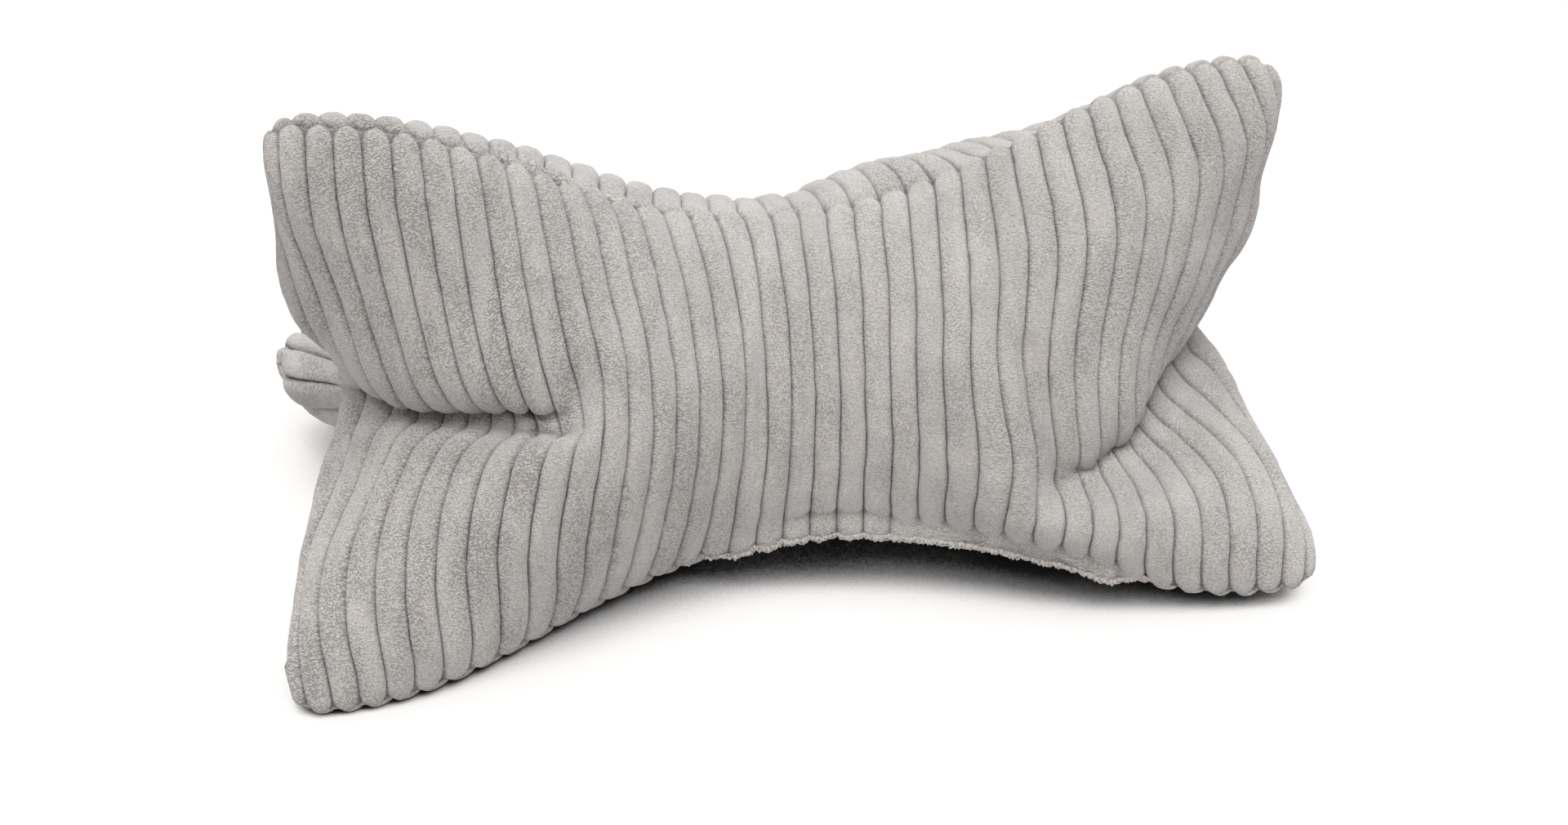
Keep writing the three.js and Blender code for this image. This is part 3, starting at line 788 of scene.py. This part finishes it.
frayed.from_pydata((locks.reshape(-1, 3) / 1000).tolist(), [], faces)
fringe = bpy.data.objects.new("lip_fringe", frayed)
bpy.context.collection.objects.link(fringe)
bpy.ops.object.select_all(action="DESELECT")
fringe.select_set(True)
bpy.context.view_layer.objects.active = fringe
bpy.ops.object.mode_set(mode="EDIT")
bpy.ops.mesh.select_all(action="SELECT")
bpy.ops.mesh.normals_make_consistent(inside=False)
bpy.ops.object.mode_set(mode="OBJECT")
bpy.ops.object.shade_smooth()
fibre, fibre_tree, strand = soft_pile("frayed_pile")
place = fibre_tree.nodes.new("ShaderNodeTexCoord")
mottle = fibre_tree.nodes.new("ShaderNodeTexNoise")
mottle.inputs["Scale"].default_value = 700
fibre_tree.links.new(place.outputs["Object"], mottle.inputs["Vector"])
greys = fibre_tree.nodes.new("ShaderNodeValToRGB")
greys.color_ramp.elements[0].position = 0.35
greys.color_ramp.elements[0].color = (0.36, 0.342, 0.325, 1)
greys.color_ramp.elements[1].position = 0.62
greys.color_ramp.elements[1].color = (0.54, 0.516, 0.494, 1)
fibre_tree.links.new(mottle.outputs["Fac"], greys.inputs["Fac"])
fibre_tree.links.new(greys.outputs["Color"], strand.inputs["Base Color"])
fringe.data.materials.append(fibre)
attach(fringe, "root")

# Floor, light and camera
# A pale floor that glows evenly, with its shadow near and under the pillow painted into the glow, and
# soft studio light, seen from the photograph's angle.
# The camera's numbers in pixels are those of a camera fitted to the photograph.
floor_size = 30
camera_turn = 9.32
camera_rise = 31.33
camera_distance = 1.5
sensor_width = 36
photo_width_pixels = 1920
focal_length_pixels = 4009
shift_right_pixels = 9
shift_up_pixels = -60
bpy.ops.mesh.primitive_grid_add(x_subdivisions=2, y_subdivisions=2, size=floor_size)
floor = bpy.context.object
floor.name = "floor"
paper = bpy.data.materials.new("paper")
paper.use_nodes = True
sheet_nodes = paper.node_tree.nodes
sheet = sheet_nodes["Principled BSDF"]
sheet.inputs["Roughness"].default_value = 0.9
# Painted shadow: the floor glows, and an occlusion ramp darkens the glow near and under the pillow, so
# its shade is painted. Its own diffuse colour is nearly black, so cast shadows barely show.
sheet.inputs["Base Color"].default_value = (0.04, 0.04, 0.04, 1)
sheet.inputs["Emission Strength"].default_value = 0.98
open_sky = sheet_nodes.new("ShaderNodeAmbientOcclusion")
open_sky.samples = 8
open_sky.inputs["Distance"].default_value = 0.055
painted_floor_shadow = sheet_nodes.new("ShaderNodeValToRGB")
shadow_stops = ((0.27, 0.0), (0.32, 0.1), (0.39, 0.55), (0.48, 0.88), (0.68, 0.97), (0.95, 1.0))
for place, bright in shadow_stops:
    stop = painted_floor_shadow.color_ramp.elements.new(place)
    stop.color = (bright, bright * 0.98, bright * 0.97, 1)
painted_floor_shadow.color_ramp.elements.remove(painted_floor_shadow.color_ramp.elements[-1])
painted_floor_shadow.color_ramp.elements.remove(painted_floor_shadow.color_ramp.elements[0])
paper.node_tree.links.new(open_sky.outputs["AO"], painted_floor_shadow.inputs["Fac"])
paper.node_tree.links.new(painted_floor_shadow.outputs["Color"], sheet.inputs["Emission Color"])
floor.data.materials.append(paper)

aim = Vector((axis_at[0], axis_at[1], floor_below_axis - floor_press)) / 1000
world = bpy.data.worlds.new("studio")
world.use_nodes = True
sky = world.node_tree
where = sky.nodes.new("ShaderNodeTexCoord")
height = sky.nodes.new("ShaderNodeSeparateXYZ")
sky.links.new(where.outputs["Generated"], height.inputs["Vector"])
dome = sky.nodes.new("ShaderNodeMapRange")
for socket, value in (("From Min", 0.0), ("From Max", 0.8), ("To Min", 0.25), ("To Max", 0.6)):
    dome.inputs[socket].default_value = value
sky.links.new(height.outputs["Z"], dome.inputs["Value"])
sky.links.new(dome.outputs["Result"], sky.nodes["Background"].inputs["Strength"])
sky.nodes["Background"].inputs["Color"].default_value = (1, 1, 1, 1)
bpy.context.scene.world = world

for name, place, spread, power in (
    ("soft_key", (-0.15, -0.6, 2.0), 40, 2.5),
    ("rear_light", (0.25, 1.1, 1.8), 50, 1.2),
):
    bpy.ops.object.light_add(type="SUN", location=place)
    lamp = bpy.context.object
    lamp.name = name
    lamp.data.angle = math.radians(spread)
    lamp.data.energy = power
    lamp.rotation_euler = (aim - lamp.location).to_track_quat("-Z", "Y").to_euler()

bpy.ops.object.camera_add()
camera = bpy.context.object
turn = math.radians(camera_turn)
rise = math.radians(camera_rise)
back = Vector((-math.sin(turn) * math.cos(rise), -math.cos(turn) * math.cos(rise), math.sin(rise)))
camera.location = aim + back * camera_distance
camera.rotation_euler = (-back).to_track_quat("-Z", "Y").to_euler()
camera.data.sensor_width = sensor_width
camera.data.lens = sensor_width * focal_length_pixels / photo_width_pixels
camera.data.shift_x = shift_right_pixels / photo_width_pixels
camera.data.shift_y = shift_up_pixels / photo_width_pixels
camera.data.clip_end = 100
bpy.context.scene.camera = camera
bpy.context.scene.view_settings.view_transform = "Standard"
